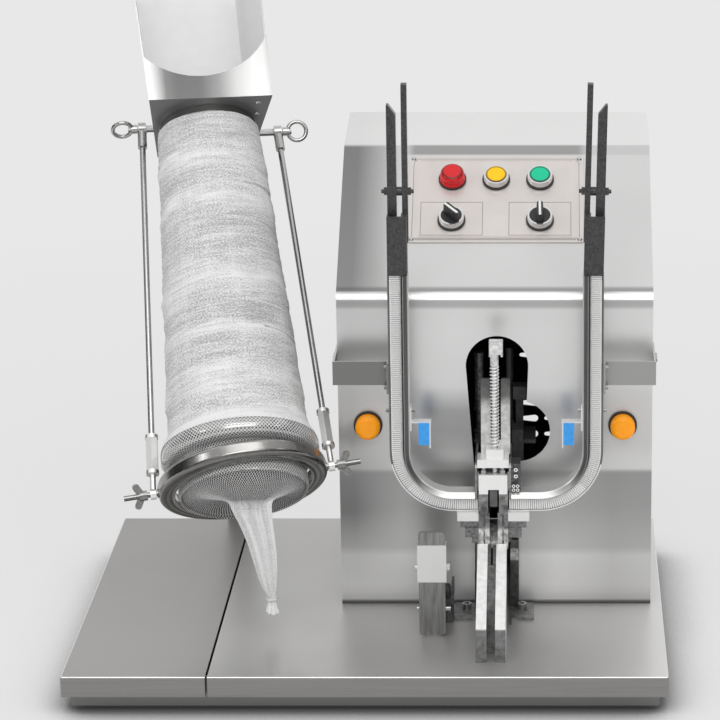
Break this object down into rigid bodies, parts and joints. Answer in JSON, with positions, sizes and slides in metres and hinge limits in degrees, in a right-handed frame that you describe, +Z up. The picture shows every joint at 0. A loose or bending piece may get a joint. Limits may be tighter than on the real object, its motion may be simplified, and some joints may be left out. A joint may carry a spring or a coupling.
{
  "type": "mesh bag clipping machine",
  "caption": "Tabletop clipping machine: steel housing with control panel, curved clip rails, clipping head, and a netted filling tube with hopper.",
  "frame": {"origin": "on the table under the middle of the machine, post and hopper included", "axes": "+Z up, +Y to the back of the machine, +X to the right seen from the front"},
  "size_m": [0.607, 0.5863, 0.7038],
  "materials": {
    "air_manifold": "satin",
    "base_pan": "satin",
    "brake_ring": "polished",
    "brake_rods": "satin",
    "brake_sleeves": "polished",
    "button_screws": "satin",
    "clip_ram": "satin",
    "clip_sensors": "gloss",
    "control_bezels": "polished",
    "control_plate": "satin",
    "deck_left": "brushed",
    "deck_right": "brushed",
    "drive_cylinder": "satin",
    "gate_cylinder": "satin",
    "guide_arms": "satin",
    "head_bolts": "satin",
    "head_plates": "satin",
    "head_yoke": "satin",
    "hopper": "brushed",
    "housing_shell": "brushed",
    "jaw_block": "satin",
    "knife_box": "satin",
    "left_clip_rail": "satin",
    "left_clip_stick": "satin",
    "left_eye_nut": "polished",
    "left_selector": "gloss",
    "left_wing_nut": "satin",
    "loading_blades": "satin",
    "net_sleeve": "knitted",
    "net_tail": "knitted",
    "net_tube": "satin",
    "paddle_bracket": "satin",
    "paddle_sleeve": "satin",
    "post_strap": "satin",
    "power_button": "gloss",
    "rail_brackets": "satin",
    "rail_caps": "cast",
    "rail_supports": "satin",
    "ram_guide": "satin",
    "ram_spring": "satin",
    "rear_cover": "brushed",
    "rear_fittings": "satin",
    "red_lamp": "gloss",
    "reset_button": "gloss",
    "right_clip_rail": "satin",
    "right_clip_stick": "satin",
    "right_eye_nut": "polished",
    "right_selector": "gloss",
    "right_wing_nut": "satin",
    "rubber_feet": "matt",
    "side_lamps": "gloss",
    "support_post": "satin",
    "switch_blocks": "matt",
    "tail_clip": "satin",
    "trigger_paddle": "satin",
    "trigger_valve": "satin",
    "tube_collar": "polished",
    "valve_bridge": "satin",
    "valve_roller": "satin"
  },
  "bodies": {
    "machine": {"air_manifold": "air_manifold", "base_pan": "base_pan", "brake_rods": "brake_rods", "button_screws": "button_screws", "clip_sensors": "clip_sensors", "control_bezels": "control_bezels", "control_plate": "control_plate", "deck_left": "deck_left", "deck_right": "deck_right", "drive_cylinder": "drive_cylinder", "gate_cylinder": "gate_cylinder", "guide_arms": "guide_arms", "head_bolts": "head_bolts", "head_plates": "head_plates", "head_yoke": "head_yoke", "hopper": "hopper", "housing_shell": "housing_shell", "jaw_block": "jaw_block", "knife_box": "knife_box", "left_clip_rail": "left_clip_rail", "left_clip_stick": "left_clip_stick", "loading_blades": "loading_blades", "net_sleeve": "net_sleeve", "net_tail": "net_tail", "net_tube": "net_tube", "paddle_bracket": "paddle_bracket", "post_strap": "post_strap", "rail_brackets": "rail_brackets", "rail_caps": "rail_caps", "rail_supports": "rail_supports", "ram_guide": "ram_guide", "ram_spring": "ram_spring", "rear_cover": "rear_cover", "rear_fittings": "rear_fittings", "red_lamp": "red_lamp", "right_clip_rail": "right_clip_rail", "right_clip_stick": "right_clip_stick", "rubber_feet": "rubber_feet", "side_lamps": "side_lamps", "support_post": "support_post", "switch_blocks": "switch_blocks", "tail_clip": "tail_clip", "trigger_valve": "trigger_valve", "tube_collar": "tube_collar", "valve_bridge": "valve_bridge"},
    "reset_button": {"reset_button": "reset_button"},
    "power_button": {"power_button": "power_button"},
    "left_selector": {"left_selector": "left_selector"},
    "right_selector": {"right_selector": "right_selector"},
    "ram": {"clip_ram": "clip_ram"},
    "paddle": {"trigger_paddle": "trigger_paddle", "paddle_sleeve": "paddle_sleeve"},
    "roller": {"valve_roller": "valve_roller"},
    "brake": {"brake_ring": "brake_ring", "brake_sleeves": "brake_sleeves"},
    "left_wing_nut": {"left_wing_nut": "left_wing_nut"},
    "right_wing_nut": {"right_wing_nut": "right_wing_nut"},
    "left_eye_nut": {"left_eye_nut": "left_eye_nut"},
    "right_eye_nut": {"right_eye_nut": "right_eye_nut"}
  },
  "joints": [
    {"name": "reset_press", "type": "slide", "parent": "machine", "child": "reset_button", "axis": [0, -0.5792, 0.8152], "range_m": [-0.003, 0], "stiffness_N_per_m": 400, "springref_m": 0.001},
    {"name": "power_press", "type": "slide", "parent": "machine", "child": "power_button", "axis": [0, -0.5792, 0.8152], "range_m": [-0.003, 0], "stiffness_N_per_m": 400, "springref_m": 0.001},
    {"name": "left_selector_turn", "type": "hinge", "parent": "machine", "child": "left_selector", "pos_m": [0.0816, -0.00942, 0.43718], "axis": [0, -0.5792, 0.8152], "range_deg": [-90, 0]},
    {"name": "right_selector_turn", "type": "hinge", "parent": "machine", "child": "right_selector", "pos_m": [0.1744, -0.00942, 0.43718], "axis": [0, -0.5792, 0.8152], "range_deg": [-45, 45]},
    {"name": "ram_stroke", "type": "slide", "parent": "machine", "child": "ram", "axis": [0, 0, 1], "range_m": [-0.02, 0], "stiffness_N_per_m": 300, "springref_m": 0.005, "deforming": ["ram_spring"]},
    {"name": "paddle_swing", "type": "hinge", "parent": "machine", "child": "paddle", "pos_m": [0.064, -0.176, 0.068], "axis": [-1, 0, 0], "range_deg": [0, 12], "stiffness_Nm_per_rad": 0.4, "springref_deg": -8.59},
    {"name": "roller_spin", "type": "hinge", "parent": "machine", "child": "roller", "pos_m": [0.0795, -0.157, 0.08], "axis": [1, 0, 0], "continuous": true},
    {"name": "brake_slide", "type": "slide", "parent": "machine", "child": "brake", "axis": [-0.1325, 0.6425, 0.7547], "range_m": [-0.007, 0]},
    {"name": "left_wing_nut_turn", "type": "hinge", "parent": "brake", "child": "left_wing_nut", "pos_m": [-0.23148, -0.17548, 0.19004], "axis": [-0.9781, -0.1787, -0.107], "continuous": true},
    {"name": "right_wing_nut_turn", "type": "hinge", "parent": "brake", "child": "right_wing_nut", "pos_m": [-0.02804, -0.13831, 0.2123], "axis": [0.9781, 0.1787, 0.107], "continuous": true},
    {"name": "left_eye_nut_turn", "type": "hinge", "parent": "machine", "child": "left_eye_nut", "pos_m": [-0.26923, 0.11844, 0.50872], "axis": [-0.9794, -0.2019, 0], "continuous": true},
    {"name": "right_eye_nut_turn", "type": "hinge", "parent": "machine", "child": "right_eye_nut", "pos_m": [-0.10207, 0.15947, 0.49783], "axis": [0.9794, 0.2019, 0], "continuous": true}
  ]
}
